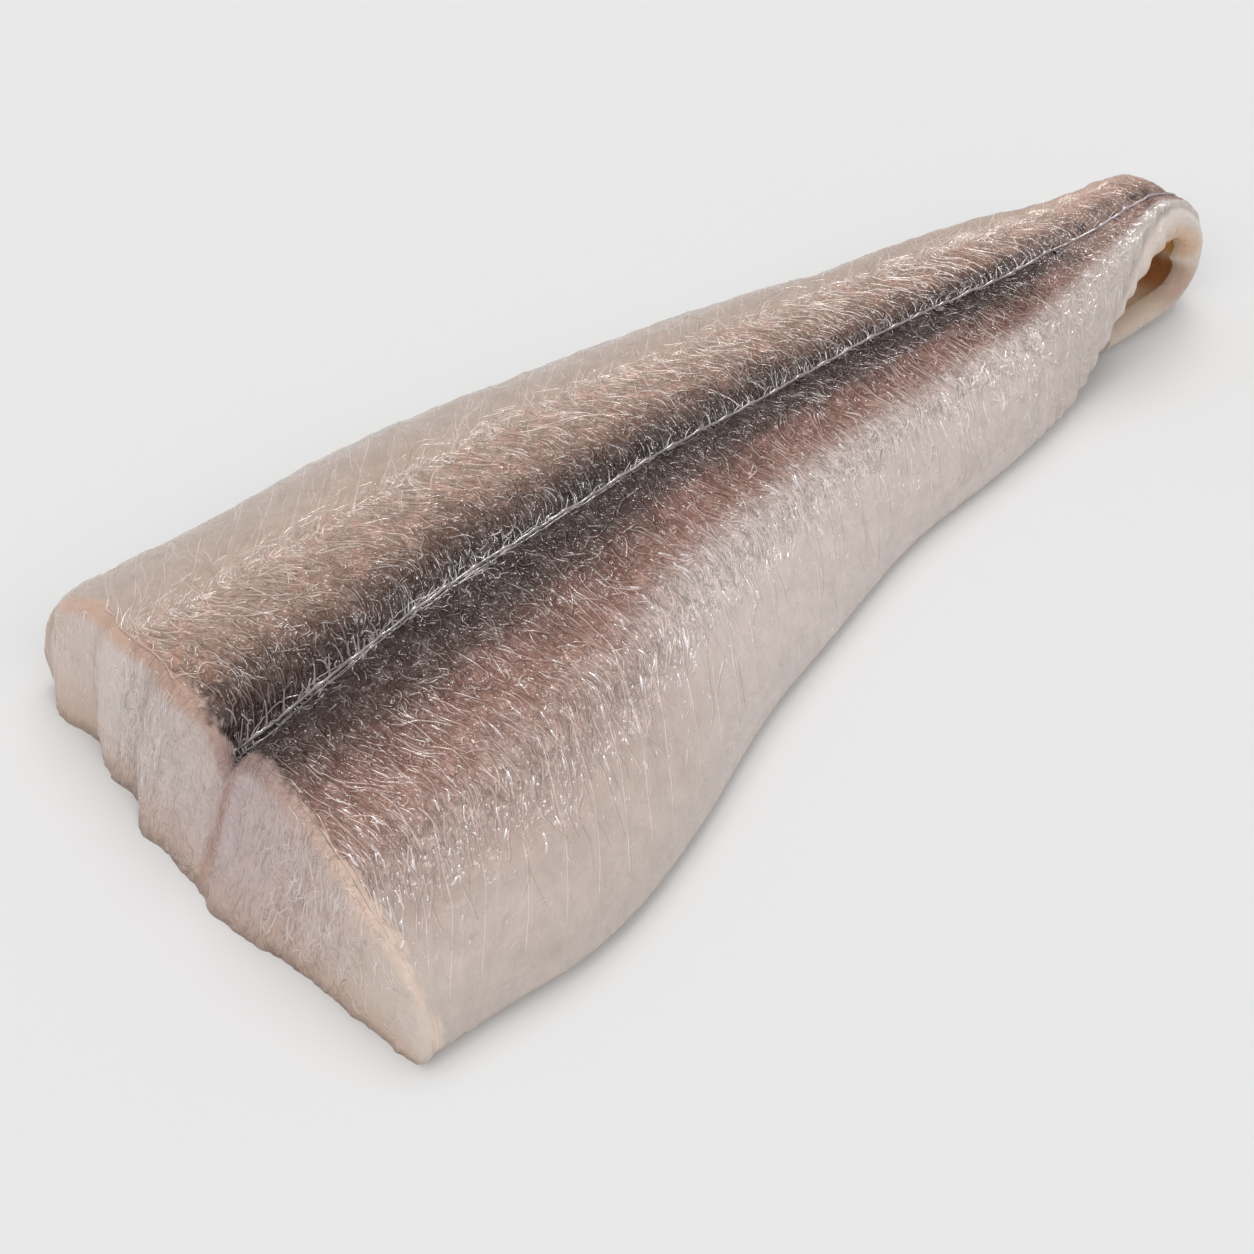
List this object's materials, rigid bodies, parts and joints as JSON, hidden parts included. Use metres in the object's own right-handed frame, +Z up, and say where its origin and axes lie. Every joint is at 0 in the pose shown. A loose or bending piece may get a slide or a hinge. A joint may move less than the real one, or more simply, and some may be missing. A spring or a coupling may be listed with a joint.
{
  "type": "saithe fillet",
  "caption": "Raw skinless fish fillet, thick and straight at the cut end, tapering to a thin tail that is folded under itself.",
  "frame": {"origin": "centre of the footprint on the table, at the bottom of the bounding box", "axes": "+X along the fillet from the cut end to the tail, +Y across it towards the back edge of the fish, +Z up"},
  "size_m": [0.2926, 0.1324, 0.0362],
  "materials": {
    "flesh": "wet raw fish flesh, glossy"
  },
  "bodies": {
    "root": {"fillet": "flesh"}
  },
  "joints": []
}
